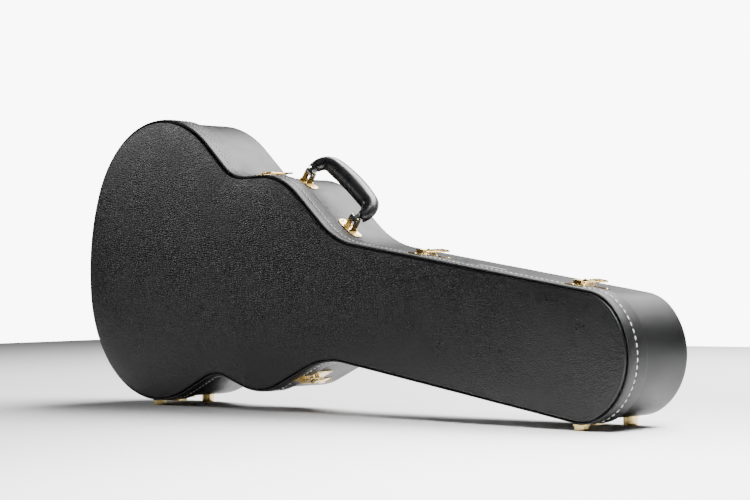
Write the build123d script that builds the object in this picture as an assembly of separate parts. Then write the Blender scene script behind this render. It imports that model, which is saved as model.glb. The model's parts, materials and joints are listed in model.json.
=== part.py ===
from build123d import *
import math
import os

# Hard-shell case for a semi-hollow electric guitar, standing on its side feet.
#
# Every piece is drawn in the case's own frame and then tipped on to its feet:
#   x  along the case, 0 at the tail and LENGTH at the head end
#   w  across the case, 0 on the centre line and positive on the handle side
#   d  depth, 0 on the face of the lid and DEPTH on the back (it runs along -z here)
#   h  how far a wall stands outside the groove line round the lid's face

os.makedirs("parts", exist_ok=True)

# ---------------------------------------------------------------- driving sizes, mm
LENGTH = 1130.0
DEPTH = 124.0
LOWER_BOUT = (188.0, 37.0, 183.0)      # centre x, centre w, radius; a hollow bend is negative
WAIST = (374.0, 226.0, -76.0)
UPPER_BOUT = (442.0, 40.0, 118.0)
SHOULDER = (640.0, 230.0, -148.0)
HEAD_CORNER_RADIUS = 64.0
HEAD_CORNER_W = 16.0
HEAD_END_RADIUS = 84.0

SKIN = 0.8                             # vinyl covering
PLY = 5.2                              # plywood frame and panels
BASE_H = -2.0                          # outside of the base wall
LID_EDGE_H = -1.8                      # outside of the lid's rolled face edge
RIM_INSIDE_H = -8.0
VALANCE_IN_H = -1.5                    # band round the lid, which overlaps the base
VALANCE_OUT_H = 2.5
VALANCE_FRONT_D = 2.6
VALANCE_BACK_D = 37.0
SEAM_D = 33.0                          # end of the lid's frame
SEAM_GAP = 0.4
PANEL_BACK_D = SKIN + 5.0
PAD_IN_H = -24.0                       # inside of the padding
PAD_CLEAR = 0.2
BASE_PAD_FLOOR_D = 111.0
LID_PAD_FLOOR_D = 11.0

FOOT_HEIGHT = 10.0                     # groove line to the ground
FOOT_RADIUS = 9.5
FOOT_STATIONS = {"tail": 209.0, "head": 1062.0}
FRONT_FOOT_D = 14.0
REAR_FOOT_D = 110.0

HINGE_AXIS_D = 40.5
HINGE_AXIS_Z = 8.8                     # above the ground
KNUCKLE_RADIUS = 2.75
HINGE_PIN_RADIUS = 1.2
HINGE_RUNNING_FIT = 0.05
HINGES = {"tail": (217.0, 50.0), "head": (1058.0, 34.0)}    # station along the ground, width

LATCH_STATIONS = {"waist": (405.0, 1), "neck": (745.0, 1), "head": (1022.0, 1),
                  "shoulder": (530.0, -1), "tail": (0.0, 1)}
PLATE = 1.2                            # brass sheet
LEVER_PIVOT = (48.0, 6.0)              # d, h
BAIL_PIVOT = (56.5, 6.8)
BAIL_HALF = 9.6
BAIL_WIRE = 1.1
BAIL_FRONT_D = 30.0
LATCH_PIN_RADIUS = 1.5

HANDLE_STATIONS = (468.0, 572.0)
HANDLE_D = 54.0
HANDLE_PIVOT_H = 16.0
HANDLE_LEAN = 48.0                     # degrees towards the back, where it rests
GRIP_RADIUS = 10.5

BADGE_STATION = 847.0
BADGE_D = 56.0

BOX_X = (668.0, 792.0)                 # accessory compartment under the neck
BOX_HALF = 55.5
BOX_TOP_D = 74.0
BOX_WALL = 4.0
DOOR_D = (69.7, 73.7)
NECK_REST_X = (830.0, 856.0)


# ---------------------------------------------------------------- outline of the case
def normal_angle(start, end):
    """Angle of the outward normal where one bend runs into the next, in degrees."""
    gap = Vector(end[0] - start[0], end[1] - start[1])
    turn = max(-1.0, min(1.0, (start[2] - end[2]) / gap.length))
    return math.degrees(math.atan2(gap.Y, gap.X) + math.acos(turn))


def case_bends():
    """Bends of the handle side from the tail to the head end, each tangent to the next."""
    x, w, radius = LOWER_BOUT
    tail_radius = (x**2 + w**2 - radius**2) / (2 * (x - radius))
    end_x = LENGTH - HEAD_END_RADIUS
    corner_x = end_x + math.sqrt((HEAD_END_RADIUS - HEAD_CORNER_RADIUS) ** 2 - HEAD_CORNER_W**2)
    tail = (tail_radius, 0.0, tail_radius)
    corner = (corner_x, HEAD_CORNER_W, HEAD_CORNER_RADIUS)
    end = (end_x, 0.0, HEAD_END_RADIUS)
    return [tail, LOWER_BOUT, WAIST, UPPER_BOUT, SHOULDER, corner, end]


BENDS = case_bends()
ANGLES = [180.0] + [normal_angle(a, b) for a, b in zip(BENDS, BENDS[1:])] + [0.0]


def on_bend(bend, angle, h):
    """Point of a bend at one normal angle, h outside the groove line."""
    x, w, radius = bend
    reach = radius + h
    return (x + reach * math.cos(math.radians(angle)), w + reach * math.sin(math.radians(angle)))


def outline(h):
    """Face of the case h outside the groove line."""
    side = []
    last = None
    for bend, start, end in zip(BENDS, ANGLES, ANGLES[1:]):
        first = on_bend(bend, start, h)
        if last and math.dist(last, first) > 0.01:
            side.append(Line(last, first))
        last = on_bend(bend, end, h)
        side.append(ThreePointArc(first, on_bend(bend, (start + end) / 2, h), last))
    return make_face(side + [mirror(edge, Plane.XZ) for edge in side])


def slab(h, d_front, d_back):
    """Solid of the whole outline between two depths."""
    return extrude(Pos(0, 0, -d_back) * outline(h), d_back - d_front)


def band(h_in, h_out, d_front, d_back):
    """Wall that follows the outline."""
    return slab(h_out, d_front, d_back) - slab(h_in, d_front, d_back)


def wall_point(x, side):
    """Point and outward normal angle of the groove line at one station; side is 1 or -1."""
    if x <= 0:
        return 0.0, 0.0, 180.0
    for bend, start, end in zip(BENDS, ANGLES, ANGLES[1:]):
        first = on_bend(bend, start, 0)
        last = on_bend(bend, end, 0)
        if x < first[0]:
            w = first[1] + (first[0] - x) / math.tan(math.radians(start))
            return x, side * w, side * start
        if x <= last[0]:
            angle = math.degrees(math.acos((x - bend[0]) / bend[2]))
            return x, side * on_bend(bend, angle, 0)[1], side * angle
    raise ValueError("station is off the case")


def wall_frame(x, side):
    """Frame on the wall: X along the wall, Y the depth d, Z the height h."""
    px, pw, angle = wall_point(x, side)
    c = math.cos(math.radians(angle))
    s = math.sin(math.radians(angle))
    return Plane(origin=(px, pw, 0), x_dir=(s, -c, 0), z_dir=(c, s, 0)).location


def round_plate(width, d_front, d_back, corner):
    """Round-cornered prism through the wall, in a wall frame, to be cut to a plate."""
    shape = Pos(0, (d_front + d_back) / 2, -8) * RectangleRounded(width, d_back - d_front, corner)
    return extrude(shape, 20)


def wall_plate(place, width, d_front, d_back, h_wall, corner):
    """Sheet-metal plate that lies on the wall and bends with it."""
    ring = band(h_wall, h_wall + PLATE, d_front - 2, d_back + 2)
    return (place * round_plate(width, d_front, d_back, corner)) & ring


def dome(radius, height, place):
    """Domed rivet or screw head that stands on a plate."""
    ball = (radius**2 + height**2) / (2 * height)
    cap = Pos(0, 0, height - ball) * Sphere(ball)
    return place * (cap & Pos(0, 0, height / 2) * Box(3 * radius, 3 * radius, height))


def heads(place, spots, h, radius, height=0.9):
    """Solids of the same head at several spots (s, d) of a wall frame."""
    return [dome(radius, height, place * Pos(s, d, h)) for s, d in spots]


# ---------------------------------------------------------------- standing on the feet
def stand_tilt():
    """Angle of the case's centre line when both outer bends of the floor side touch the ground."""
    corner = BENDS[5]
    reach = Vector(corner[0] - LOWER_BOUT[0], LOWER_BOUT[1] - corner[1])
    return math.asin((LOWER_BOUT[2] - corner[2]) / reach.length) + math.atan2(reach.Y, reach.X)


TILT = stand_tilt()
GROUND = (-LOWER_BOUT[0] * math.sin(TILT) - LOWER_BOUT[1] * math.cos(TILT)
          - LOWER_BOUT[2] - FOOT_HEIGHT)


def ground_frame(x, d):
    """Frame on the ground below station x: X along the ground, Y the depth, Z up."""
    w = (GROUND + x * math.sin(TILT)) / math.cos(TILT)
    return Plane(origin=(x, w, -d), x_dir=(math.cos(TILT), math.sin(TILT), 0),
                 z_dir=(-math.sin(TILT), math.cos(TILT), 0)).location


STAND = Plane(origin=(0, 0, 0), x_dir=(math.cos(TILT), 0, -math.sin(TILT)),
              z_dir=(0, -1, 0)).location

nodes = {}
axes = {}


# ---------------------------------------------------------------- shells
def round_edge(solid, d, radius):
    """Round the outer edge loop that lies at one depth."""
    loops = [edge for edge in solid.edges() if abs(edge.center().Z + d) < 0.01]
    return fillet(loops, radius)


def build_base():
    """Tray of the case: frame, back, covering and padding."""
    front = SEAM_D + SEAM_GAP
    panel_front = DEPTH - SKIN - PLY
    skin_in = BASE_H - SKIN
    nodes["base_rim"] = band(RIM_INSIDE_H, skin_in, front, panel_front)
    nodes["base_back_panel"] = round_edge(slab(skin_in, panel_front, DEPTH - SKIN), DEPTH - SKIN, 2.7)
    outside = round_edge(slab(BASE_H, front, DEPTH), DEPTH, 3.5)
    nodes["base_cover"] = outside - slab(skin_in, front, panel_front) - nodes["base_back_panel"]
    hollow = slab(PAD_IN_H, front, BASE_PAD_FLOOR_D)
    pad = slab(RIM_INSIDE_H - PAD_CLEAR, front + 1.2, panel_front - PAD_CLEAR)
    nodes["base_padding"] = pad - hollow


def build_lid():
    """Lid: face panel, frame, covering, stitched valance and padding."""
    edge_in = LID_EDGE_H - SKIN
    nodes["lid_panel"] = slab(edge_in, SKIN, PANEL_BACK_D)
    outside = round_edge(slab(LID_EDGE_H, 0, PANEL_BACK_D), 0, 2.2)
    nodes["lid_cover"] = outside - nodes["lid_panel"]
    nodes["lid_rim"] = band(RIM_INSIDE_H, VALANCE_IN_H, PANEL_BACK_D, SEAM_D)
    valance = band(VALANCE_IN_H, VALANCE_OUT_H, VALANCE_FRONT_D, VALANCE_BACK_D)
    nodes["lid_valance"] = round_edge(valance, VALANCE_FRONT_D, 1.6)
    pad = slab(RIM_INSIDE_H - PAD_CLEAR, PANEL_BACK_D + PAD_CLEAR, SEAM_D - 0.5)
    nodes["lid_padding"] = pad - slab(PAD_IN_H + 2, LID_PAD_FLOOR_D, SEAM_D)


# ---------------------------------------------------------------- feet and hinges
def foot(x, d, wall):
    """Brass stud foot with a flange, seated on the curved wall."""
    body = Cylinder(FOOT_RADIUS, 16, align=(Align.CENTER, Align.CENTER, Align.MIN))
    body = fillet(body.edges().sort_by(Axis.Z)[0], 2.4)
    flange_z = FOOT_HEIGHT - wall - 1.6
    body += Pos(0, 0, flange_z) * Cylinder(FOOT_RADIUS + 1.6, 6, align=(Align.CENTER, Align.CENTER, Align.MIN))
    body -= Cylinder(3.2, 1.6, align=(Align.CENTER, Align.CENTER, Align.MIN))
    return (ground_frame(x, d) * body) - slab(wall, d - 20, d + 13)


def foot_screw(x, d):
    """Countersunk screw head inside the recess of a foot."""
    head = Pos(0, 0, 0.7) * Cylinder(2.7, 0.9, align=(Align.CENTER, Align.CENTER, Align.MIN))
    slot = Pos(0, 0, 0.8) * Box(4.4, 0.7, 0.5)
    return ground_frame(x, d) * (head - slot)


def build_feet():
    """Two feet on the lid's valance and two on the base."""
    for where, x in FOOT_STATIONS.items():
        nodes[f"front_foot_{where}"] = foot(x, FRONT_FOOT_D, VALANCE_OUT_H)
        nodes[f"rear_foot_{where}"] = foot(x, REAR_FOOT_D, BASE_H)
    for part, d in (("front", FRONT_FOOT_D), ("rear", REAR_FOOT_D)):
        nodes[f"{part}_foot_screws"] = [foot_screw(x, d) for x in FOOT_STATIONS.values()]


def rod(radius, start, end, y=0.0, z=0.0):
    """Round bar along X."""
    return Pos((start + end) / 2, y, z) * Rot(0, 90, 0) * Cylinder(radius, end - start)


def build_hinge(where, x, width):
    """Three-knuckle hinge: the middle knuckle belongs to the lid."""
    place = ground_frame(x, 0)
    half = width / 2
    inner = width * 0.2
    gap = 0.4
    y = HINGE_AXIS_D
    z = HINGE_AXIS_Z
    top = FOOT_HEIGHT + 8
    lid_z = FOOT_HEIGHT - VALANCE_OUT_H - PLATE
    base_z = FOOT_HEIGHT - BASE_H - PLATE

    lid = Pos(0, 32.0, (lid_z + top) / 2) * Box(width, 10.0, top - lid_z)
    lid += Pos(0, (36.8 + y) / 2, lid_z + 0.6) * Box(2 * inner, y - 36.8, 1.2)
    lid = (place * lid) - slab(VALANCE_OUT_H, 20, VALANCE_BACK_D)
    knuckle = rod(KNUCKLE_RADIUS, -inner, inner, y, z)
    bore = rod(HINGE_PIN_RADIUS + HINGE_RUNNING_FIT, -half, half, y, z)
    nodes[f"hinge_{where}_lid_leaf"] = lid + place * knuckle - place * bore

    base = Pos(0, 51.7, (base_z + top) / 2) * Box(width, 16.0, top - base_z)
    base = (place * base) - slab(BASE_H, 30, 80)
    pin_hole = rod(HINGE_PIN_RADIUS, -half, half, y, z)
    for side in (-1, 1):
        start, end = sorted((side * (inner + gap), side * half))
        tongue = Pos((start + end) / 2, (y + 44) / 2, base_z + 0.5) * Box(end - start, 44 - y, 1.0)
        base += place * (tongue + rod(KNUCKLE_RADIUS, start, end, y, z))
    nodes[f"hinge_{where}_base_leaf"] = base - place * pin_hole
    nodes[f"hinge_{where}_pin"] = place * rod(HINGE_PIN_RADIUS, -half - 1, half + 1, y, z)

    turn = Rot(180, 0, 0)
    spread = width * 0.33
    lid_heads = [place * Pos(s, 31.5, lid_z) * turn for s in (-spread, spread)]
    base_heads = [place * Pos(s, 53.5, base_z) * turn for s in (-spread, 0, spread)]
    nodes["hinge_screws_lid"] = nodes.get("hinge_screws_lid", []) + [dome(2.3, 0.8, p) for p in lid_heads]
    nodes["hinge_screws_base"] = nodes.get("hinge_screws_base", []) + [dome(2.3, 0.8, p) for p in base_heads]


# ---------------------------------------------------------------- latches
def latch_plate(place):
    """Base plate of a latch with two ears for the lever's pin."""
    plate = wall_plate(place, 30, 40, 74, BASE_H, 4)
    d, h = LEVER_PIVOT
    for side in (-1, 1):
        ear = rod(3.6, 5.4, 6.7, d, h)
        ear += Pos(6.05, d, (h + BASE_H) / 2) * Box(1.3, 7.2, h - BASE_H)
        if side < 0:
            ear = mirror(ear, Plane.YZ)
        plate += place * ear - slab(BASE_H + PLATE / 2, 30, 80)
    return plate - place * rod(LATCH_PIN_RADIUS, -20, 20, d, h)


def latch_pin(place):
    """Headed pin that the lever turns on."""
    d, h = LEVER_PIVOT
    return place * (rod(LATCH_PIN_RADIUS, -7.9, 7.9, d, h) + rod(2.4, 6.7, 7.9, d, h) + rod(2.4, -7.9, -6.7, d, h))


def latch_lever(place):
    """Lever: barrel on the pin, arm with the bail's hole, and a wide thumb tab."""
    d, h = LEVER_PIVOT
    bd, bh = BAIL_PIVOT
    barrel = rod(2.7, -5, 5, d, h)
    arm = Pos(0, (d + bd + 2) / 2, bh) * Box(10, bd + 2 - d, 3.6)
    tab = extrude(Pos(0, 66.6, 6.6) * RectangleRounded(22, 14.8, 3.5), 1.8)
    neck = Pos(0, 60.0, 7.5) * Box(10, 4.0, 1.8)
    curl = rod(1.1, -7.5, 7.5, 73.6, 8.3)
    lever = barrel + arm + neck + tab + curl
    lever -= rod(LATCH_PIN_RADIUS + 0.05, -10, 10, d, h)
    return place * (lever - rod(BAIL_WIRE + 0.05, -10, 10, bd, bh))


def latch_bail(place):
    """Wire loop that draws the keeper back, with its ends turned into the lever."""
    d, h = BAIL_PIVOT
    front = BAIL_FRONT_D
    corners = [(1.5, d, h), (BAIL_HALF, d, h), (BAIL_HALF, front, h),
               (-BAIL_HALF, front, h), (-BAIL_HALF, d, h), (-1.5, d, h)]
    path = FilletPolyline(*corners, radius=2.5)
    section = Plane(origin=corners[0], z_dir=(1, 0, 0)) * Circle(BAIL_WIRE)
    return place * sweep(section, path=path)


def latch_keeper(place):
    """Keeper on the valance with a raised lip for the bail."""
    top = VALANCE_OUT_H + PLATE
    keeper = wall_plate(place, 24, 13, 36, VALANCE_OUT_H, 3)
    lip = Pos(0, 26.4, (top + 8.2) / 2 - 0.3) * Box(13, 1.8, 8.2 - top + 0.6)
    nose = rod(1.3, -6.5, 6.5, 25.9, 7.7)
    foot_bar = Pos(0, 24.6, top + 0.3) * Box(13, 3.8, 1.2)
    return keeper + place * (lip + nose + foot_bar)


def build_latches():
    """Five identical draw latches round the seam."""
    rivets = []
    keeper_rivets = []
    for where, (x, side) in LATCH_STATIONS.items():
        place = wall_frame(x, side)
        nodes[f"latch_{where}_plate"] = latch_plate(place)
        nodes[f"latch_{where}_lever"] = latch_lever(place)
        nodes[f"latch_{where}_bail"] = latch_bail(place)
        nodes[f"latch_{where}_keeper"] = latch_keeper(place)
        nodes["latch_pins"] = nodes.get("latch_pins", []) + [latch_pin(place)]
        rivets += heads(place, [(-11.4, 44), (11.4, 44), (-11.4, 70), (11.4, 70)], BASE_H + PLATE, 1.9)
        keeper_rivets += heads(place, [(-5, 32.5), (5, 32.5), (0, 17.5)], VALANCE_OUT_H + PLATE, 1.7, 0.7)
        axes[f"latch_{where}_lever"] = (place, LEVER_PIVOT)
        axes[f"latch_{where}_bail"] = (place, BAIL_PIVOT)
    nodes["latch_rivets"] = rivets
    nodes["keeper_rivets"] = keeper_rivets


# ---------------------------------------------------------------- handle
def handle_frame():
    """Frame of the handle: X along its pivot line, Y the depth, Z away from the wall."""
    ends = [Vector(*wall_point(x, 1)[:2]) for x in HANDLE_STATIONS]
    along = (ends[1] - ends[0]).normalized()
    middle = (ends[0] + ends[1]) / 2
    return Plane(origin=(middle.X, middle.Y, 0), x_dir=along, z_dir=(-along.Y, along.X, 0)).location


def handle_reach():
    """Half of the distance between the two brackets."""
    ends = [Vector(*wall_point(x, 1)[:2]) for x in HANDLE_STATIONS]
    return (ends[1] - ends[0]).length / 2


def grip_path():
    """Flat arch whose ends turn down to the brackets, in the X-Z plane of the handle."""
    end_radius = 19.0
    end_x = 44.0
    end_z = 14.0
    rise = 38.0
    drop = (end_x**2 + (end_z**2 - (rise - end_radius) ** 2)) / (2 * (rise - end_radius - end_z))
    top_radius = rise + drop
    join = math.degrees(math.atan2(end_z + drop, end_x))
    edges = []
    for side in (-1, 1):
        spots = [200, (200 + 180 - join) / 2, 180 - join]
        points = [(end_x + end_radius * math.cos(math.radians(180 - a)),
                   end_z + end_radius * math.sin(math.radians(a))) for a in spots]
        edges.append([(side * x, 0, z) for x, z in points])
    left = ThreePointArc(*edges[0])
    right = ThreePointArc(*reversed(edges[1]))
    top = ThreePointArc(edges[0][-1], (0, 0, rise), edges[1][-1])
    return left + top + right, edges[0][0]


def build_handle():
    """Arched grip on two brackets; it rests leaning back."""
    place = handle_frame()
    reach = handle_reach()
    pivot = Pos(0, HANDLE_D, HANDLE_PIVOT_H)
    lean = place * pivot * Rot(-HANDLE_LEAN, 0, 0)
    path, start = grip_path()
    section = Plane(origin=start, z_dir=path % 0) * Circle(GRIP_RADIUS)
    grip = sweep(section, path=path)
    core = []
    for side in (-1, 1):
        eye = rod(4.2, side * reach - 5.2, side * reach + 5.2)
        tongue = Pos(side * (reach + 1.2), 0, 5.0) * Box(6.5, 9, 9.4)
        strap = (eye + tongue) - grip - rod(2.05, side * reach - 9, side * reach + 9)
        core.append(strap)
    nodes["handle_grip"] = lean * grip
    nodes["handle_end_straps"] = [lean * piece for piece in core]

    pins = []
    for name, side, x in (("tail_side", -1, HANDLE_STATIONS[0]), ("head_side", 1, HANDLE_STATIONS[1])):
        wall = wall_frame(x, 1)
        plate = wall_plate(wall, 46, HANDLE_D - 9, HANDLE_D + 9, BASE_H, 8)
        for cheek in (-1, 1):
            s = side * reach + cheek * 6.8
            ear = rod(4.6, s - 1, s + 1, HANDLE_D, HANDLE_PIVOT_H)
            web = Pos(s, HANDLE_D, HANDLE_PIVOT_H / 2 - 3) * Box(2, 9.2, HANDLE_PIVOT_H + 6)
            flare = Pos(s, HANDLE_D, 0) * Box(2, 14, 5)
            plate += place * (ear + web + flare) - slab(BASE_H + PLATE / 2, 20, 90)
        hole = place * rod(2.0, side * reach - 9, side * reach + 9, HANDLE_D, HANDLE_PIVOT_H)
        nodes[f"handle_bracket_{name}"] = plate - hole
        pin = rod(2.0, side * reach - 9, side * reach + 9, HANDLE_D, HANDLE_PIVOT_H)
        for cheek in (-1, 1):
            start_s, end_s = sorted((side * reach + cheek * 7.8, side * reach + cheek * 9.2))
            pin += rod(3.0, start_s, end_s, HANDLE_D, HANDLE_PIVOT_H)
        pins.append(place * pin)
        spots = [(s, HANDLE_D) for s in (-18.5, 18.5)]
        nodes["handle_rivets"] = nodes.get("handle_rivets", []) + curved_heads(x, spots)
    nodes["handle_pins"] = pins
    axes["handle"] = (place, (HANDLE_D, HANDLE_PIVOT_H))


def curved_heads(x, spots):
    """Rivet heads of a bracket, each square to the curved wall under it."""
    result = []
    for s, d in spots:
        place = wall_frame(x + s * 0.87, 1)
        result.append(dome(2.2, 1.1, place * Pos(0, d, BASE_H + PLATE)) - slab(BASE_H + PLATE, 30, 80))
    return result


def build_badge():
    """Blank plate with two rivets on the handle side of the neck."""
    place = wall_frame(BADGE_STATION, 1)
    nodes["blank_plate"] = wall_plate(place, 50, BADGE_D - 8, BADGE_D + 8, BASE_H, 2.5)
    nodes["blank_plate_rivets"] = heads(place, [(-19, BADGE_D), (19, BADGE_D)], BASE_H + PLATE, 1.6, 0.7)


# ---------------------------------------------------------------- inside the base
def block(x_range, w_range, d_range):
    """Box between case coordinates."""
    sizes = [b - a for a, b in (x_range, w_range, d_range)]
    middle = [(a + b) / 2 for a, b in (x_range, w_range, d_range)]
    return Pos(middle[0], middle[1], -middle[2]) * Box(*sizes)


def build_inside():
    """Accessory box with a hinged door, and the neck rest."""
    floor = BASE_PAD_FLOOR_D - PAD_CLEAR
    x0, x1 = BOX_X
    axis_d = sum(DOOR_D) / 2
    half_door = (DOOR_D[1] - DOOR_D[0]) / 2
    box = block(BOX_X, (-BOX_HALF, BOX_HALF), (BOX_TOP_D, floor))
    box -= block((x0 + BOX_WALL, x1 - BOX_WALL), (-BOX_HALF + BOX_WALL, BOX_HALF - BOX_WALL),
                 (BOX_TOP_D - 1, floor - 3))
    for start in (x0 - 3.5, x1):
        box += block((start, start + 3.5), (-3.5, 3.5), (axis_d - 3.5, BOX_TOP_D + 12))
    pin = Pos(0, 0, -axis_d) * rod(1.0, x0 - 3.5, x1 + 3.5)
    nodes["accessory_box"] = box - pin
    nodes["accessory_shelf"] = block(BOX_X, (half_door + 0.5, BOX_HALF), (BOX_TOP_D - 4, BOX_TOP_D))
    door = block((x0 + 0.5, x1 - 0.5), (-BOX_HALF, 0), DOOR_D)
    door += Pos(0, 0, -axis_d) * rod(half_door, x0 + 0.5, x1 - 0.5)
    nodes["accessory_door"] = door - Pos(0, 0, -axis_d) * rod(1.06, x0, x1)
    nodes["accessory_door_pin"] = pin
    middle = (x0 + x1) / 2
    tab = block((middle - 8, middle + 8), (1 - BOX_HALF, 22 - BOX_HALF), (DOOR_D[0] - 2.2, DOOR_D[0]))
    nodes["accessory_pull_tab"] = tab
    axes["accessory_door"] = (Location((middle, 0, -axis_d)), None)

    rest = block(NECK_REST_X, (-BOX_HALF, BOX_HALF), (60.0, floor))
    notch = block((NECK_REST_X[0] - 1, NECK_REST_X[1] + 1), (-29, 29), (50.0, 76.0))
    notch = fillet(notch.edges().filter_by(Axis.X).group_by(Axis.Z)[0], 14)
    rest -= notch
    nodes["neck_rest"] = fillet(rest.edges().filter_by(Axis.Y).group_by(Axis.Z)[-1], 5)


build_base()
build_lid()
build_feet()
for hinge_name, (hinge_x, hinge_width) in HINGES.items():
    build_hinge(hinge_name, hinge_x, hinge_width)
build_latches()
build_handle()
build_badge()
build_inside()

# ---------------------------------------------------------------- tip on to the feet and write
standing = {name: Compound(STAND * Compound(shape if isinstance(shape, list) else [shape]))
            for name, shape in nodes.items()}
box = Compound(list(standing.values())).bounding_box()
CENTRE = Pos(-(box.min.X + box.max.X) / 2, -(box.min.Y + box.max.Y) / 2, -box.min.Z)
for name, shape in standing.items():
    export_step(CENTRE * shape, f"parts/{name}.step")
print(f"size {box.size.X:.1f} x {box.size.Y:.1f} x {box.size.Z:.1f} mm")
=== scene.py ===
"""Hard-shell guitar case standing on its side feet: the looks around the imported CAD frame."""
import json
import math
import random

import bmesh
import bpy
from mathutils import Matrix, Vector, noise
from mathutils.geometry import delaunay_2d_cdt


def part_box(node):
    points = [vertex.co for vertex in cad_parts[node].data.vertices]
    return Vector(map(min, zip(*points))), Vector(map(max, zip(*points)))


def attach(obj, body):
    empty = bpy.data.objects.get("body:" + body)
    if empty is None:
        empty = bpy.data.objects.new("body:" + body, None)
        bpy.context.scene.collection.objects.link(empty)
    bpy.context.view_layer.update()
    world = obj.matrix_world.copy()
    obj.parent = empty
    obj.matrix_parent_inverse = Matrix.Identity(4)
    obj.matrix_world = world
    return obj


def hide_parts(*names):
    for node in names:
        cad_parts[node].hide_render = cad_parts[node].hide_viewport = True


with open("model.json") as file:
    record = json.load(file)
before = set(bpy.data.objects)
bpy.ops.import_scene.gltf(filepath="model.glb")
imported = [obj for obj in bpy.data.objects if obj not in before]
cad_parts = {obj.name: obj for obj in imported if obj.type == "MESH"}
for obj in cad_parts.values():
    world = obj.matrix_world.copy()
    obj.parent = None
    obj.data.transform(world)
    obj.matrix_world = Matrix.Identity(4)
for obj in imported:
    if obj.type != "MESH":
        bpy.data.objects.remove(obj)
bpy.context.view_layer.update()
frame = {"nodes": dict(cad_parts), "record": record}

MM = 0.001

# ------------------------------------------------------------------ the case's outline, mm
# x runs from the tail to the head, w across (positive on the handle side), d from the lid's face
# to the back, and h is the distance outside the groove line round the face.
LENGTH = 1130.0
LOWER_BOUT = (188.0, 37.0, 183.0)
WAIST = (374.0, 226.0, -76.0)
UPPER_BOUT = (442.0, 40.0, 118.0)
SHOULDER = (640.0, 230.0, -148.0)
HEAD_CORNER_RADIUS = 64.0
HEAD_CORNER_W = 16.0
HEAD_END_RADIUS = 84.0
BASE_H = -2.0                         # outside of the base's vinyl
VALANCE_H = 2.5                       # outside of the valance
VALANCE_BACK_D = 37.0                 # where the valance ends
COVER_FRONT_D = 33.4                  # front lip of the base
BACK_D = 123.9                        # back of the base at its edge
FACE_D = 0.1                          # face of the lid at its edge
CROWN_START_H = -5.0                  # inside this line the face and back begin to rise
FACE_RISE = 1.6
BACK_RISE = 1.2
CROWN_REACH = 16.0                    # how quickly the crown levels out
STITCH_D = 17.5
STITCH_PITCH = 8.6
STITCH_LENGTH = 5.4
THREAD_RADIUS = 0.62
STATION_STEP = 4.0                    # spacing of the sections round the outline
FILL_STEP = 12.0                      # spacing of the grid inside the outline
FILL_WIDTH = 500.0                    # the grid covers this much across the case
ROW_RATIO = 0.866                     # row spacing of a triangular grid over its point spacing


def bends():
    """Bends of the handle side from tail to head, each tangent to the next; hollow ones are negative."""
    x, w, radius = LOWER_BOUT
    tail = (x * x + w * w - radius * radius) / (2 * (x - radius))
    end_x = LENGTH - HEAD_END_RADIUS
    corner_x = end_x + math.sqrt((HEAD_END_RADIUS - HEAD_CORNER_RADIUS) ** 2 - HEAD_CORNER_W ** 2)
    return [(tail, 0.0, tail), LOWER_BOUT, WAIST, UPPER_BOUT, SHOULDER,
            (corner_x, HEAD_CORNER_W, HEAD_CORNER_RADIUS), (end_x, 0.0, HEAD_END_RADIUS)]


def joint_angle(a, b):
    """Normal angle, in radians, where bend a runs into bend b."""
    dx, dw = b[0] - a[0], b[1] - a[1]
    turn = max(-1.0, min(1.0, (a[2] - b[2]) / math.hypot(dx, dw)))
    return math.atan2(dw, dx) + math.acos(turn)


BENDS = bends()
ANGLES = [math.pi] + [joint_angle(a, b) for a, b in zip(BENDS, BENDS[1:])] + [0.0]
TILT = (math.asin((LOWER_BOUT[2] - HEAD_CORNER_RADIUS)
                  / math.hypot(BENDS[5][0] - LOWER_BOUT[0], LOWER_BOUT[1] - HEAD_CORNER_W))
        + math.atan2(LOWER_BOUT[1] - HEAD_CORNER_W, BENDS[5][0] - LOWER_BOUT[0]))


def half_stations(step):
    """Points and outward normals of the handle side at about even steps."""
    result = []
    last = None
    for (x, w, radius), start, end in zip(BENDS, ANGLES, ANGLES[1:]):
        first = (x + radius * math.cos(start), w + radius * math.sin(start))
        if last and math.dist(first, last) > 0.01:
            count = max(1, round(math.dist(first, last) / step))
            for i in range(1, count):
                point = [p + (q - p) * i / count for p, q in zip(last, first)]
                result.append((point[0], point[1], start))
        count = max(2, round(abs(radius * (start - end)) / step))
        for i in range(count + 1):
            angle = start + (end - start) * i / count
            if i or not result or math.dist(result[-1][:2], first) > 0.01:
                result.append((x + radius * math.cos(angle), w + radius * math.sin(angle), angle))
        last = result[-1][:2]
    return result


def stations(step=STATION_STEP):
    """Closed loop of (x, w, nx, nw) round the whole case."""
    top = half_stations(step)
    loop = [(x, w, math.cos(a), math.sin(a)) for x, w, a in top]
    loop += [(x, -w, nx, -nw) for x, w, nx, nw in reversed(loop[1:-1])]
    return loop


def tipped(x, w):
    """Case x and w turned on to the feet, before the frame's origin is known."""
    return x * math.cos(TILT) + w * math.sin(TILT), w * math.cos(TILT) - x * math.sin(TILT)


LOOP = stations()
valance_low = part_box("lid_valance")[0]
cover_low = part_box("lid_cover")[0]
tipped_band = [tipped(x + VALANCE_H * nx, w + VALANCE_H * nw) for x, w, nx, nw in stations(1.0)]
ORIGIN = Vector((valance_low[0] / MM - min(p[0] for p in tipped_band), cover_low[1] / MM,
                 valance_low[2] / MM - min(p[1] for p in tipped_band)))


def place(x, w, d):
    """Case coordinates in mm to the row frame in metres."""
    tx, tz = tipped(x, w)
    return Vector((tx + ORIGIN.x, d + ORIGIN.y, tz + ORIGIN.z)) * MM


def turn(x, w, d):
    """A direction in case coordinates, in the row frame."""
    tx, tz = tipped(x, w)
    return Vector((tx, d, tz))


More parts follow.
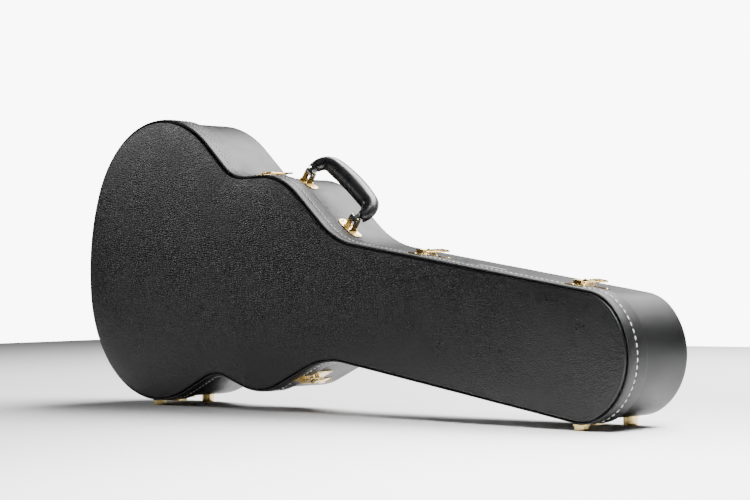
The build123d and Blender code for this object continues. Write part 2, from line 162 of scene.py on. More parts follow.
# ------------------------------------------------------------------ materials
def material(name, colour, roughness, metallic=0.0, **sockets):
    """Principled material, its node tree, its shader and its object-space coordinates."""
    mat = bpy.data.materials.new(name)
    mat.use_nodes = True
    tree = mat.node_tree
    shader = tree.nodes["Principled BSDF"]
    shader.inputs["Base Color"].default_value = (*colour, 1)
    shader.inputs["Roughness"].default_value = roughness
    shader.inputs["Metallic"].default_value = metallic
    for socket, value in sockets.items():
        shader.inputs[socket.replace("_", " ")].default_value = value
    coords = tree.nodes.new("ShaderNodeTexCoord")
    return mat, tree, shader, coords.outputs["Object"]


def node(tree, kind, inputs=(), **settings):
    """New node with settings, and its inputs linked or set."""
    made = tree.nodes.new(kind)
    for key, value in settings.items():
        setattr(made, key, value)
    for key, value in dict(inputs).items():
        if isinstance(value, bpy.types.NodeSocket):
            tree.links.new(value, made.inputs[key])
        else:
            made.inputs[key].default_value = value
    return made


def stretched(tree, vector, scale):
    """Coordinates scaled per axis, so that a texture scale is in cells per metre."""
    return node(tree, "ShaderNodeMapping", {"Vector": vector, "Scale": scale}).outputs[0]


def noise_value(tree, vector, scale, detail=3.0, roughness=0.5, distortion=0.0):
    """Noise from 0 to 1."""
    return node(tree, "ShaderNodeTexNoise", {"Vector": vector, "Scale": scale, "Detail": detail,
                                             "Roughness": roughness, "Distortion": distortion}).outputs["Fac"]


def cells(tree, vector, scale, feature="F1", smooth=0.4):
    """Voronoi distance."""
    made = node(tree, "ShaderNodeTexVoronoi", {"Vector": vector, "Scale": scale}, feature=feature)
    if feature == "SMOOTH_F1":
        made.inputs["Smoothness"].default_value = smooth
    return made.outputs["Distance"]


def ramp(tree, value, low, high, to_low=0.0, to_high=1.0):
    """Map a value's range to another."""
    return node(tree, "ShaderNodeMapRange", {"Value": value, "From Min": low, "From Max": high,
                                             "To Min": to_low, "To Max": to_high}).outputs[0]


def calc(tree, operation, a, b=0.0):
    """One arithmetic step."""
    return node(tree, "ShaderNodeMath", {0: a, 1: b}, operation=operation).outputs[0]


def blend_colour(tree, factor, dark, light):
    """Colour between two."""
    made = node(tree, "ShaderNodeMix", data_type="RGBA")
    tree.links.new(factor, made.inputs["Factor"])
    made.inputs["A"].default_value = (*dark, 1)
    made.inputs["B"].default_value = (*light, 1)
    return made.outputs["Result"]


def bump(tree, shader, layers):
    """Chain of bumps on a shader; each layer is (height, distance in mm, strength)."""
    normal = None
    for height, distance, strength in layers:
        made = node(tree, "ShaderNodeBump",
                    {"Height": height, "Distance": distance * MM, "Strength": strength})
        if normal:
            tree.links.new(normal, made.inputs["Normal"])
        normal = made.outputs["Normal"]
    tree.links.new(normal, shader.inputs["Normal"])


def vinyl(name, colour, roughness, grain, depth, streak):
    """Embossed black vinyl: pebbles and creases of a given size in mm, longer along the case, with painted
    shade in the creases and a painted highlight on the pebble tops.
    """
    mat, tree, shader, coords = material(name, colour, roughness, Specular_IOR_Level=0.3, IOR=1.5)
    along = stretched(tree, coords, (1 / streak, 1.0, 1.0))
    per_m = 1000.0 / grain
    pebbles = ramp(tree, cells(tree, along, per_m, "DISTANCE_TO_EDGE"), 0.0, 0.22)
    creases = noise_value(tree, along, per_m * 0.7, 3.0, 0.55)
    height = calc(tree, "ADD", calc(tree, "MULTIPLY", pebbles, 0.5), calc(tree, "MULTIPLY", creases, 0.9))
    fine = noise_value(tree, coords, 2600.0, 2.0)
    ripple = noise_value(tree, coords, 9.0, 2.0)
    bump(tree, shader, [(ripple, 1.2, 0.35), (height, depth, 0.9), (fine, 0.05, 0.5)])
    # Painted shade and painted highlight: the base colour follows the bump height, darkened to 0.55x in the
    # low creases and cell edges and lightened to 1.35x on the raised pebble tops.
    tone = ramp(tree, height, 0.3, 1.1)
    dark = tuple(c * 0.55 for c in colour)
    light = tuple(c * 1.35 for c in colour)
    tree.links.new(blend_colour(tree, tone, dark, light), shader.inputs["Base Color"])
    rough = ramp(tree, noise_value(tree, coords, 22.0, 3.0), 0.3, 0.7, roughness - 0.05, roughness + 0.06)
    tree.links.new(rough, shader.inputs["Roughness"])
    return mat


def brass(name, colour, roughness):
    """Polished brass plate with faint polishing lines, finger haze and dull spots."""
    mat, tree, shader, coords = material(name, colour, roughness, 1.0)
    brushed = noise_value(tree, stretched(tree, coords, (1.0, 8.0, 1.0)), 700.0, 3.0)
    haze = noise_value(tree, coords, 60.0, 4.0, 0.6)
    spots = cells(tree, coords, 420.0)
    rough = calc(tree, "ADD", ramp(tree, haze, 0.35, 0.7, roughness - 0.06, roughness + 0.12),
                 ramp(tree, spots, 0.0, 0.12, 0.18, 0.0))
    tree.links.new(rough, shader.inputs["Roughness"])
    darker = tuple(c * 0.72 for c in colour)
    tone = blend_colour(tree, ramp(tree, haze, 0.3, 0.75), darker, colour)
    tree.links.new(tone, shader.inputs["Base Color"])
    edge = node(tree, "ShaderNodeBevel", {"Radius": 0.35 * MM}, samples=4).outputs[0]
    wave = node(tree, "ShaderNodeBump",
                {"Height": brushed, "Distance": 0.02 * MM, "Strength": 0.6, "Normal": edge})
    tree.links.new(wave.outputs[0], shader.inputs["Normal"])
    return mat


def leather(name, colour, roughness):
    """Smooth glazed leather with fine pores and soft creases."""
    mat, tree, shader, coords = material(name, colour, roughness, Coat_Weight=0.25, Coat_Roughness=0.22)
    pores = cells(tree, coords, 1100.0, "SMOOTH_F1", 0.5)
    creases = noise_value(tree, coords, 260.0, 4.0, 0.6, 0.9)
    wear = noise_value(tree, coords, 45.0, 3.0)
    bump(tree, shader, [(creases, 0.25, 0.5), (pores, 0.12, 0.5)])
    rough = ramp(tree, wear, 0.3, 0.7, roughness - 0.07, roughness + 0.1)
    tree.links.new(rough, shader.inputs["Roughness"])
    light = tuple(c * 1.8 for c in colour)
    tree.links.new(blend_colour(tree, ramp(tree, wear, 0.3, 0.8), colour, light), shader.inputs["Base Color"])
    return mat


def plush(name, dark, light):
    """Short-pile plush: clumped pile with brushed-up patches and a sheen."""
    mat, tree, shader, coords = material(name, dark, 0.95, Sheen_Weight=0.6, Sheen_Roughness=0.45,
                                         Specular_IOR_Level=0.1)
    shader.inputs["Sheen Tint"].default_value = (*[min(1.0, c * 3) for c in light], 1)
    pile = noise_value(tree, coords, 1500.0, 3.0, 0.7)
    clumps = noise_value(tree, coords, 260.0, 4.0, 0.65, 0.8)
    brushed = noise_value(tree, coords, 26.0, 3.0, 0.5, 0.6)
    bump(tree, shader, [(clumps, 0.8, 0.7), (pile, 0.35, 0.8)])
    tone = calc(tree, "ADD", calc(tree, "MULTIPLY", clumps, 0.5), calc(tree, "MULTIPLY", brushed, 0.7))
    pile_colour = blend_colour(tree, ramp(tree, tone, 0.35, 0.85), dark, light)
    tree.links.new(pile_colour, shader.inputs["Base Color"])
    return mat


def plywood(name):
    """Birch plywood with thin glue lines through its depth and a fine grain."""
    mat, tree, shader, coords = material(name, (0.62, 0.46, 0.3), 0.6)
    grain = noise_value(tree, stretched(tree, coords, (0.12, 1.0, 1.0)), 420.0, 4.0, 0.6, 0.4)
    plies = node(tree, "ShaderNodeTexWave", {"Vector": coords, "Scale": 190.0, "Distortion": 0.6},
                 bands_direction="Y").outputs["Fac"]
    tone = calc(tree, "ADD", calc(tree, "MULTIPLY", grain, 0.6), calc(tree, "MULTIPLY", plies, 0.4))
    wood = blend_colour(tree, tone, (0.36, 0.22, 0.12), (0.72, 0.56, 0.38))
    tree.links.new(wood, shader.inputs["Base Color"])
    bump(tree, shader, [(grain, 0.1, 0.4)])
    return mat


def steel(name, colour=(0.5, 0.5, 0.51), roughness=0.28):
    """Plated steel with fine turning marks and a little haze."""
    mat, tree, shader, coords = material(name, colour, roughness, 1.0)
    marks = noise_value(tree, stretched(tree, coords, (9.0, 1.0, 1.0)), 500.0, 3.0)
    haze = noise_value(tree, coords, 90.0, 3.0)
    tree.links.new(ramp(tree, haze, 0.3, 0.7, roughness - 0.06, roughness + 0.14), shader.inputs["Roughness"])
    bump(tree, shader, [(marks, 0.02, 0.5)])
    return mat


def thread(name):
    """Twisted off-white sewing thread."""
    mat, tree, shader, coords = material(name, (0.82, 0.81, 0.78), 0.7)
    twist = node(tree, "ShaderNodeTexWave", {"Vector": coords, "Scale": 900.0, "Distortion": 1.5},
                 bands_direction="DIAGONAL").outputs["Fac"]
    tone = noise_value(tree, coords, 150.0, 2.0)
    cotton = blend_colour(tree, tone, (0.66, 0.65, 0.62), (0.9, 0.89, 0.86))
    tree.links.new(cotton, shader.inputs["Base Color"])
    bump(tree, shader, [(twist, 0.15, 0.6)])
    return mat


MATERIALS = {
    "face_vinyl": vinyl("face_vinyl_mat", (0.004, 0.004, 0.0043), 0.32, 2.6, 0.3, 1.8),
    "wall_vinyl": vinyl("wall_vinyl_mat", (0.006, 0.006, 0.0064), 0.4, 1.0, 0.1, 1.2),
    "groove": vinyl("groove_mat", (0.004, 0.004, 0.004), 0.7, 0.8, 0.05, 1.0),
    "plush": plush("plush_mat", (0.05, 0.006, 0.009), (0.16, 0.022, 0.03)),
    "plywood": plywood("plywood_mat"),
    "leather": leather("handle_leather_mat", (0.012, 0.012, 0.013), 0.3),
    "brass": brass("brass_mat", (0.9, 0.68, 0.3), 0.2),
    "steel": steel("steel_mat"),
    "pale": steel("pale_metal_mat", (0.78, 0.78, 0.77), 0.3),
    "thread": thread("thread_mat"),
}
SLOT_MATERIALS = {"face_vinyl": "face_vinyl", "wall_vinyl": "wall_vinyl", "valance_vinyl": "wall_vinyl",
                  "plywood": "plywood", "plush": "plush",
                  "handle_leather": "leather", "tab_leather": "leather",
                  "brass": "brass", "steel": "steel", "pale_metal": "pale"}


def finish_cad_nodes():
    """Give every CAD node that stays its procedural material."""
    slots = {part["node"]: part["material_slot"] for part in frame["record"]["subparts"]}
    for name, obj in frame["nodes"].items():
        mat = MATERIALS[SLOT_MATERIALS[slots[name]]]
        if obj.material_slots:
            for slot in obj.material_slots:
                slot.material = mat
        else:
            obj.data.materials.append(mat)


# ------------------------------------------------------------------ mesh helpers
def new_object(name, mesh_or_bmesh, mat, smooth=True):
    """Link a mesh as a piece with one material."""
    mesh = mesh_or_bmesh
    if isinstance(mesh, bmesh.types.BMesh):
        mesh = bpy.data.meshes.new(name)
        mesh_or_bmesh.to_mesh(mesh)
        mesh_or_bmesh.free()
    obj = bpy.data.objects.new(name, mesh)
    bpy.context.scene.collection.objects.link(obj)
    mesh.materials.append(mat)
    if smooth:
        mesh.polygons.foreach_set("use_smooth", [True] * len(mesh.polygons))
    mesh.update()
    return obj


def arc(centre, radius, start, end, count):
    """Points of a round stretch of a profile (h, d); angles in degrees from +h towards +d."""
    return [(centre[0] + radius * math.cos(math.radians(start + (end - start) * i / count)),
             centre[1] + radius * math.sin(math.radians(start + (end - start) * i / count)))
            for i in range(count + 1)]


def sweep(profile, loop=LOOP, closed=False, cap=None, shift=None):
    """Carry a profile of (h, d) round the outline.

    closed joins its ends, and cap fills the last ring, giving d at a distance and a point. shift
    adds its own (h, d) at each point.
    """
    bm = bmesh.new()
    rings = []
    for k, (h, d) in enumerate(profile):
        ring = []
        for i, (x, w, nx, nw) in enumerate(loop):
            dh, dd = shift(i, k, h, d) if shift else (0.0, 0.0)
            ring.append(bm.verts.new(place(x + (h + dh) * nx, w + (h + dh) * nw, d + dd)))
        rings.append(ring)
    pairs = list(zip(rings, rings[1:])) + ([(rings[-1], rings[0])] if closed else [])
    for a, b in pairs:
        for i in range(len(loop)):
            j = (i + 1) % len(loop)
            bm.faces.new((a[i], a[j], b[j], b[i]))
    if cap:
        fill(bm, rings[-1], [(x + h * nx, w + h * nw) for x, w, nx, nw in loop], h, cap)
    bmesh.ops.recalc_face_normals(bm, faces=bm.faces)
    return bm


def gap_to(point, outline):
    """Distance from a point to the nearest of an outline's corners."""
    return min(math.dist(point, corner) for corner in outline)


def fill(bm, ring, outline, inside, height):
    """Fill a ring with an even triangle grid; height gives d at a distance inside the groove line."""
    inner = []
    rows = int(FILL_WIDTH / FILL_STEP)
    for r in range(-rows // 2, rows // 2):
        w = r * FILL_STEP * ROW_RATIO
        for c in range(int(LENGTH / FILL_STEP) + 1):
            point = ((c + 0.5 * (r % 2)) * FILL_STEP, w)
            if within(point, outline) and gap_to(point, outline) > 0.6 * FILL_STEP:
                inner.append(point)
    points = [Vector(p) for p in outline + inner]
    border = [(i, (i + 1) % len(outline)) for i in range(len(outline))]
    flat, _, faces, origins, _, _ = delaunay_2d_cdt(points, border, [], 1, 1e-6)
    verts = []
    for point, origin in zip(flat, origins):
        if origin and origin[0] < len(ring):
            verts.append(ring[origin[0]])
        else:
            depth = height(inside - gap_to(point, outline), point)
            verts.append(bm.verts.new(place(point.x, point.y, depth)))
    for face in faces:
        bm.faces.new([verts[i] for i in face])


def within(point, outline):
    """Whether a point lies inside a closed outline."""
    x, w = point
    odd = False
    for (ax, aw), (bx, bw) in zip(outline, outline[1:] + outline[:1]):
        if (aw > w) != (bw > w) and x < ax + (w - aw) * (bx - ax) / (bw - aw):
            odd = not odd
    return odd


def crowned(h, rise, reach):
    """How far a padded panel has risen at a distance inside its edge."""
    return rise * (1 - math.exp(min(0.0, h) / reach))


# ------------------------------------------------------------------ shells
FACE_REACH = [-6, -9, -13, -18, -24, -31]


def low_noise(point, layer):
    """Slow unevenness of a covered board."""
    return noise.noise(Vector((point[0] * 0.012, point[1] * 0.012, layer)))


def face_depth(h, point):
    """Depth of the face at a distance inside the groove line."""
    return FACE_D - crowned(h - CROWN_START_H, FACE_RISE, CROWN_REACH) + 0.12 * low_noise(point, 0)


def back_depth(h, point):
    """Depth of the back at a distance inside its edge."""
    return BACK_D + crowned(h - CROWN_START_H, BACK_RISE, CROWN_REACH) + 0.12 * low_noise(point, 3)


def build_face():
    """Pebbled covering of the lid's face, with its rolled edge and a slight crown."""
    edge = arc((-4.0, 2.2), 2.2, 0, -90, 7)
    profile = [(-1.8, 5.6), (-1.8, 4.2)] + edge
    corners = len(profile)
    profile += [(h, 0.0) for h in FACE_REACH]

    def uneven(i, k, h, d):
        x, w, nx, nw = LOOP[i]
        if k < corners:
            return (0.2 * noise.noise(Vector((x * 0.02, w * 0.02, 5))), 0.0)
        return (0.0, face_depth(h, (x + h * nx, w + h * nw)))

    face = new_object("face_covering", sweep(profile, cap=face_depth, shift=uneven), MATERIALS["face_vinyl"])
    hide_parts("lid_cover")
    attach(face, "lid")
    floor = [(-5.0, 3.2), (-1.9, 4.6), (-0.9, 5.2), (0.3, 4.6)]
    groove = new_object("groove_strip", sweep(floor), MATERIALS["groove"])
    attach(groove, "lid")


def build_valance():
    """Band round the lid: rolled front edge, a sunk stitch line and a turned back edge."""
    profile = [(-1.4, VALANCE_BACK_D - 0.2), (-1.4, 30.0), (-1.4, 8.0)]
    profile += [(-0.5, 5.6)] + arc((1.1, 3.8), 1.35, 180, 290, 8)
    profile += [(2.3, 6.0), (VALANCE_H, 9.0), (VALANCE_H, STITCH_D - 3.2), (VALANCE_H - 0.1, STITCH_D - 1.8),
                (VALANCE_H - 0.55, STITCH_D), (VALANCE_H - 0.1, STITCH_D + 1.8),
                (VALANCE_H, STITCH_D + 3.2), (VALANCE_H, 28.0), (VALANCE_H - 0.05, 34.0)]
    profile += arc((1.5, VALANCE_BACK_D - 1.0), 0.95, 0, 90, 4) + [(-0.6, VALANCE_BACK_D)]

    def uneven(i, k, h, d):
        x, w = LOOP[i][0], LOOP[i][1]
        if h < 0:
            return (0.0, 0.0)
        return (0.14 * noise.noise(Vector((x * 0.03, w * 0.03, d * 0.08))), 0.0)

    band = new_object("stitched_valance", sweep(profile, closed=True, shift=uneven), MATERIALS["wall_vinyl"])
    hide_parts("lid_valance")
    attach(band, "lid")


def even_walk(step):
    """Stations at an even distance round the groove line."""
    fine = stations(1.0)
    total = sum(math.dist(a[:2], b[:2]) for a, b in zip(fine, fine[1:] + fine[:1]))
    count = round(total / step)
    result, run, target = [], 0.0, 0.0
    for a, b in zip(fine, fine[1:] + fine[:1]):
        gap = math.dist(a[:2], b[:2])
        while run + gap >= target - 1e-6 and len(result) < count:
            t = (target - run) / gap if gap else 0.0
            result.append([p + (q - p) * t for p, q in zip(a, b)])
            target += total / count
        run += gap
    return result


def stitch(bm, centre, along, out, side, length, radius):
    """One stitch: a bar of thread that dives into the cover at both ends."""
    rings = []
    for i in range(9):
        t = i / 8 * 2 - 1
        lift = radius * 0.75 - 1.3 * radius * abs(t) ** 4
        fat = radius * (1 - 0.35 * abs(t) ** 3)
        middle = centre + along * (t * length / 2) + out * lift
        rings.append([bm.verts.new(middle + (side * math.cos(a) + out * math.sin(a)) * fat)
                      for a in [k * math.pi / 3 for k in range(6)]])
    for a, b in zip(rings, rings[1:]):
        for k in range(6):
            bm.faces.new((a[k], a[(k + 1) % 6], b[(k + 1) % 6], b[k]))
    bm.faces.new(list(reversed(rings[0])))
    bm.faces.new(rings[-1])


def build_stitches():
    """Row of long stitches round the valance."""
    rng = random.Random(7)
    bm = bmesh.new()
    for x, w, nx, nw in even_walk(STITCH_PITCH):
        out = turn(nx, nw, 0).normalized()
        side = Vector((0, 1, 0))
        along = out.cross(side).normalized()
        slant = (along + side * (0.05 + 0.03 * rng.uniform(-1, 1))).normalized()
        sunk = VALANCE_H - 0.5
        spot = place(x + sunk * nx, w + sunk * nw, STITCH_D + 0.15 * rng.uniform(-1, 1))
        stitch(bm, spot, slant, out, side, STITCH_LENGTH * MM, THREAD_RADIUS * MM)
    obj = new_object("valance_stitches", bm, MATERIALS["thread"])
    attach(obj, "lid")


def build_base_cover():
    """Vinyl of the base: wrapped front lip, wall, rounded back edge and slightly crowned back."""
    profile = [(-8.0, COVER_FRONT_D + 1.0), (-7.6, COVER_FRONT_D + 0.1), (-3.2, COVER_FRONT_D)]
    profile += arc((-3.0, COVER_FRONT_D + 1.0), 1.0, -90, 0, 4)
    profile += [(BASE_H, 36.5), (BASE_H, 42.0)] + [(BASE_H, d) for d in range(50, 120, 10)]
    profile += arc((-5.5, 120.4), 3.5, 0, 90, 7)
    corners = len(profile)
    profile += [(h, 0.0) for h in FACE_REACH]

    def uneven(i, k, h, d):
        x, w, nx, nw = LOOP[i]
        if k >= corners:
            return (0.0, back_depth(h, (x + h * nx, w + h * nw)))
        if d < 40:
            return (0.0, 0.0)
        return (0.16 * noise.noise(Vector((x * 0.022, w * 0.022, d * 0.04))), 0.0)

    cover = new_object("base_covering", sweep(profile, cap=back_depth, shift=uneven), MATERIALS["wall_vinyl"])
    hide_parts("base_cover")
    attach(cover, "base")


# ------------------------------------------------------------------ linings
def build_lining(name, node_name, body, inside, lip_d, floor_d, outer_h):
    """Padded plush lining: rolled lip, slightly swollen wall, rounded corner and soft floor."""
    sign = 1 if floor_d > lip_d else -1
    depth = abs(floor_d - lip_d)
    profile = [(outer_h, lip_d + sign * 3.5), (outer_h - 0.2, lip_d + sign * 1.2)]
    profile += [(outer_h - 2.0, lip_d + sign * 0.3), (inside + 6.0, lip_d + sign * 0.3)]
    profile += [(inside + 2.4, lip_d + sign * 1.2), (inside + 0.7, lip_d + sign * 4)]
    for t in (0.3, 0.5, 0.7):
        swell = 0.8 * math.sin(math.pi * t)
        profile.append((inside - swell, lip_d + sign * depth * t))
    corner = 5.0
    profile += [(inside - 0.2 - corner * (1 - math.cos(a)), floor_d - sign * corner * (1 - math.sin(a)))
                for a in [math.radians(v) for v in (0, 25, 50, 75, 90)]]

    def floor_depth(h, point):
        lump = 0.5 * noise.noise(Vector((point[0] * 0.015, point[1] * 0.015, floor_d)))
        return floor_d - sign * (crowned(h - inside, 1.2, 12) + lump * min(1.0, (inside - h) / 30))

    corners = len(profile)
    profile += [(inside - reach, 0.0) for reach in (9, 14, 20)]

    def uneven(i, k, h, d):
        x, w, nx, nw = LOOP[i]
        if k >= corners:
            return (0.0, floor_depth(h, (x + h * nx, w + h * nw)))
        lump = noise.noise(Vector((x * 0.018, w * 0.018, d * 0.03))) * 0.5
        return (lump if inside - 3 < h < outer_h - 1 else 0.0, 0.0)

    lining = new_object(name, sweep(profile, cap=floor_depth, shift=uneven), MATERIALS["plush"])
    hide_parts(node_name)
    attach(lining, body)
    return lining


def soft_copy(node_name, body, width, mat="plush"):
    """Covered board: the CAD shape with rounded, slightly padded edges."""
    source = frame["nodes"][node_name]
    mesh = source.data.copy()
    mesh.materials.clear()
    obj = new_object(f"{node_name}_covered", mesh, MATERIALS[mat], smooth=False)
    bm = bmesh.new()
    bm.from_mesh(obj.data)
    bmesh.ops.remove_doubles(bm, verts=bm.verts, dist=0.01 * MM)
    bmesh.ops.dissolve_limit(bm, angle_limit=math.radians(1.0), verts=bm.verts, edges=bm.edges)
    bm.to_mesh(obj.data)
    bm.free()
    bevel = obj.modifiers.new("soft_edges", "BEVEL")
    bevel.width = width * MM
    bevel.segments = 4
    bevel.limit_method = "ANGLE"
    bevel.angle_limit = math.radians(35)
    apply_modifiers(obj)
    obj.data.polygons.foreach_set("use_smooth", [True] * len(obj.data.polygons))
    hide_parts(node_name)
    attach(obj, body)
    return obj


def apply_modifiers(obj):
    """Bake the modifiers into the mesh."""
    graph = bpy.context.evaluated_depsgraph_get()
    mesh = bpy.data.meshes.new_from_object(obj.evaluated_get(graph))
    obj.modifiers.clear()
    obj.data = mesh


# ------------------------------------------------------------------ handle
HANDLE_LEAN = 48.0                     # degrees that the handle rests back from upright
GRIP_END = (44.0, 14.0, 19.0)          # centre and radius of the end bend, along and out from the pivots
GRIP_RISE = 35.5                       # top of the grip's centre line, out from the pivots
GRIP_END_RADIUS = 8.6
GRIP_FULLNESS = 4.2                    # how much thicker the grip is in its middle
GRIP_FLAT = 0.94                       # thickness across the grip's plane over thickness in it
GRIP_SECTIONS = 90
GRIP_AROUND = 40
GRIP_STITCHES = 46


def handle_axes():
    """Middle of the pivot line and the handle's along, sideways and outward directions."""
    joint = next(j for j in frame["record"]["behaviour"]["joints"] if j["name"] == "handle_swing")
    along = Vector(joint["axis"]).normalized()
    lean = math.radians(HANDLE_LEAN)
    wall_out = along.cross(Vector((0, -1, 0))).normalized()
    if wall_out.z < 0:
        wall_out = -wall_out
    back = Vector((0, 1, 0))
    out = (wall_out * math.cos(lean) + back * math.sin(lean)).normalized()
    side = (back * math.cos(lean) - wall_out * math.sin(lean)).normalized()
    return Vector(joint["pos_m"]), along, side, out


def grip_point(t):
    """Centre line of the grip for t from -1 to 1, in mm along and out, with its tangent."""
    x, z, radius = GRIP_END
    drop = (x * x + z * z - (GRIP_RISE - radius) ** 2) / (2 * (GRIP_RISE - radius - z))
    big = GRIP_RISE + drop
    join = math.atan2(z + drop, x)
    end_arc = radius * (join + math.radians(20))
    top_arc = big * (math.pi / 2 - join)
    run = abs(t) * (end_arc + top_arc)
    side = 1 if t >= 0 else -1
    if run <= top_arc:
        angle = math.pi / 2 - run / big
        point = (big * math.cos(angle), big * math.sin(angle) - drop)
    else:
        angle = join - (run - top_arc) / radius
        point = (x + radius * math.cos(angle), z + radius * math.sin(angle))
    normal = (math.cos(angle), math.sin(angle))
    return (side * point[0], point[1]), (side * normal[0], normal[1])


def grip_radius(t):
    """Radius of the padded grip: fullest in the middle, narrow at the ends."""
    return GRIP_END_RADIUS + GRIP_FULLNESS * (1 - abs(t) ** 2.2)


def on_grip(point):
    """A point of the grip's plane, in mm along and out, in the row frame."""
    origin, along, _, out = handle_axes()
    return origin + (along * point[0] + out * point[1]) * MM


def grip_section(t):
    """Centre, outward direction in the grip's plane and direction across it at t."""
    _, along, side, out = handle_axes()
    centre, normal = grip_point(t)
    return on_grip(centre), along * normal[0] + out * normal[1], side


def build_grip():
    """Stuffed leather grip: rounded body, fuller in the middle, with closed ends."""
    bm = bmesh.new()
    rings = []
    for i in range(GRIP_SECTIONS + 1):
        t = i / GRIP_SECTIONS * 2 - 1
        centre, n, side = grip_section(t)
        close = max(0.0, 1 - (1 - abs(t)) / 0.05)
        radius = grip_radius(t) * math.sqrt(max(0.02, 1 - close * close))
        ring = []
        for k in range(GRIP_AROUND):
            a = k / GRIP_AROUND * 2 * math.pi
            pinch = abs(math.cos(a)) ** 14
            fat = radius * (1 + 0.10 * pinch)
            wrinkle = 0.12 * noise.noise(Vector((t * 22, math.cos(a) * 2, math.sin(a) * 2)))
            offset = n * math.cos(a) * (fat + wrinkle) + side * math.sin(a) * (fat * GRIP_FLAT + wrinkle)
            ring.append(bm.verts.new(centre + offset * MM))
        rings.append(ring)
    for a, b in zip(rings, rings[1:]):
        for k in range(GRIP_AROUND):
            bm.faces.new((a[k], a[(k + 1) % GRIP_AROUND], b[(k + 1) % GRIP_AROUND], b[k]))
    bm.faces.new(list(reversed(rings[0])))
    bm.faces.new(rings[-1])
    bmesh.ops.recalc_face_normals(bm, faces=bm.faces)
    grip = new_object("leather_grip", bm, MATERIALS["leather"])
    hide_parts("handle_grip")
    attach(grip, "handle")


def build_grip_seam():
    """Raised seam round the grip's plane, inside and outside the arch."""
    seam = bmesh.new()
    for sense in (1, -1):
        strip = []
        for i in range(GRIP_SECTIONS + 1):
            t = (i / GRIP_SECTIONS * 2 - 1) * 0.99
            centre, n, side = grip_section(t)
            spot = centre + n * sense * grip_radius(t) * 1.09 * MM
            strip.append([seam.verts.new(spot + (side * c + n * sense * s) * MM)
                          for c, s in ((-0.9, -0.8), (-0.8, 0.9), (0.0, 1.3), (0.8, 0.9), (0.9, -0.8))])
        for a, b in zip(strip, strip[1:]):
            for k in range(4):
                seam.faces.new((a[k], a[k + 1], b[k + 1], b[k]))
        for end in (strip[0], strip[-1]):
            seam.faces.new(end)
    bmesh.ops.recalc_face_normals(seam, faces=seam.faces)
    edge = new_object("grip_seam", seam, MATERIALS["leather"])
    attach(edge, "handle")


def build_grip_stitches():
    """Row of small stitches on each side of the outer seam."""
    bm = bmesh.new()
    for i in range(GRIP_STITCHES):
        t = ((i + 0.5) / GRIP_STITCHES * 2 - 1) * 0.97
        centre, n, side = grip_section(t)
        tangent = (grip_section(min(1, t + 0.01))[0] - centre).normalized()
        for way in (-1, 1):
            a = math.radians(11) * way
            fat = grip_radius(t) * 1.055
            spot = centre + (n * math.cos(a) * fat + side * math.sin(a) * fat * GRIP_FLAT) * MM
            outward = (n * math.cos(a) + side * math.sin(a)).normalized()
            stitch(bm, spot, tangent, outward, tangent.cross(outward), 2.9 * MM, 0.38 * MM)
    obj = new_object("grip_stitches", bm, MATERIALS["leather"])
    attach(obj, "handle")


# ------------------------------------------------------------------ studio
CAMERA_PLACE = (1.79821, -1.63447, 0.17197)
CAMERA_TARGET = (0.03226, 0.03417, 0.22908)
CAMERA_ROLL = 1.012
CAMERA_LENS = 80.6


def add_camera():
    """Camera at the photograph's viewing angle."""
    data = bpy.data.cameras.new("camera")
    data.lens = CAMERA_LENS
    data.sensor_width = 36.0
    data.shift_y = 0.0043
    data.clip_end = 50
    camera = bpy.data.objects.new("camera", data)
    bpy.context.scene.collection.objects.link(camera)
    view = Vector(CAMERA_TARGET) - Vector(CAMERA_PLACE)
    turn_to = view.to_track_quat("-Z", "Y").to_matrix().to_4x4()
    roll = Matrix.Rotation(math.radians(-CAMERA_ROLL), 4, "Z")
    camera.matrix_world = Matrix.Translation(CAMERA_PLACE) @ turn_to @ roll
    bpy.context.scene.camera = camera


def area_light(name, spot, target, size, power, spread=180):
    """Rectangular softbox with a beam angle in degrees."""
    data = bpy.data.lights.new(name, "AREA")
    data.shape = "RECTANGLE"
    data.size, data.size_y = size
    data.energy = power
    data.spread = math.radians(spread)
    obj = bpy.data.objects.new(name, data)
    bpy.context.scene.collection.objects.link(obj)
    obj.location = spot
    obj.rotation_euler = (Vector(target) - Vector(spot)).to_track_quat("-Z", "Y").to_euler()


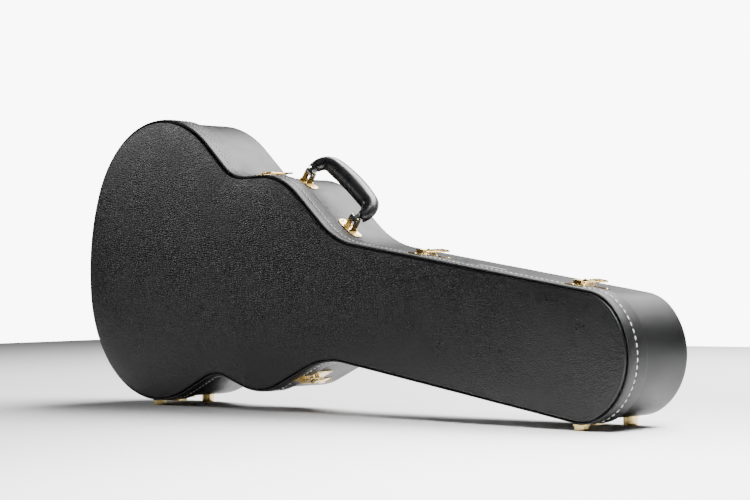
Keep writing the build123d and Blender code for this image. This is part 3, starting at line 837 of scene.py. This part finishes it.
def add_studio():
    """White floor, white surroundings and large soft boxes."""
    bm = bmesh.new()
    corners = [bm.verts.new((x, y, 0)) for x, y in ((-4.0, -0.9), (4.0, -0.9), (4.0, 2.4), (-4.0, 2.4))]
    bm.faces.new(corners)
    mat, tree, shader, coords = material("floor_mat", (0.93, 0.93, 0.93), 0.55)
    tone = ramp(tree, noise_value(tree, coords, 3.0, 2.0), 0.3, 0.7)
    paper = blend_colour(tree, tone, (0.92, 0.92, 0.92), (0.94, 0.94, 0.94))
    tree.links.new(paper, shader.inputs["Base Color"])
    floor = new_object("floor", bm, mat, smooth=False)
    area_light("top_box", (0.3, 1.4, 2.3), (0.1, 0.7, 0.0), (3.4, 2.0), 230, spread=140)
    area_light("face_box", (-1.95, -1.2, 1.0), (-0.4, 0.0, 0.35), (0.6, 0.5), 13)
    area_light("front_box", (1.3, -0.75, 1.9), (0.8, -0.5, 0.0), (1.0, 0.5), 20, spread=50)
    world = bpy.data.worlds.new("studio")
    bpy.context.scene.world = world
    world.use_nodes = True
    tree = world.node_tree
    background = tree.nodes["Background"]
    background.inputs["Color"].default_value = (1, 1, 1, 1)
    seen = tree.nodes.new("ShaderNodeLightPath").outputs["Is Camera Ray"]
    strength = tree.nodes.new("ShaderNodeMapRange")
    tree.links.new(seen, strength.inputs["Value"])
    strength.inputs["To Min"].default_value = 0.02
    strength.inputs["To Max"].default_value = 9.0
    tree.links.new(strength.outputs[0], background.inputs["Strength"])


# ------------------------------------------------------------------ build it all
finish_cad_nodes()
build_face()
build_valance()
build_stitches()
build_base_cover()
build_lining("base_lining", "base_padding", "base", -24.0, 34.4, 111.0, -8.2)
build_lining("lid_lining", "lid_padding", "lid", -22.0, 32.3, 11.0, -8.2)
soft_copy("accessory_box", "base", 0.9)
soft_copy("accessory_shelf", "base", 0.9)
soft_copy("accessory_door", "accessory_door", 0.9)
soft_copy("neck_rest", "base", 2.5)
soft_copy("accessory_pull_tab", "accessory_door", 0.6, "leather")
build_grip()
build_grip_seam()
build_grip_stitches()
add_studio()
add_camera()
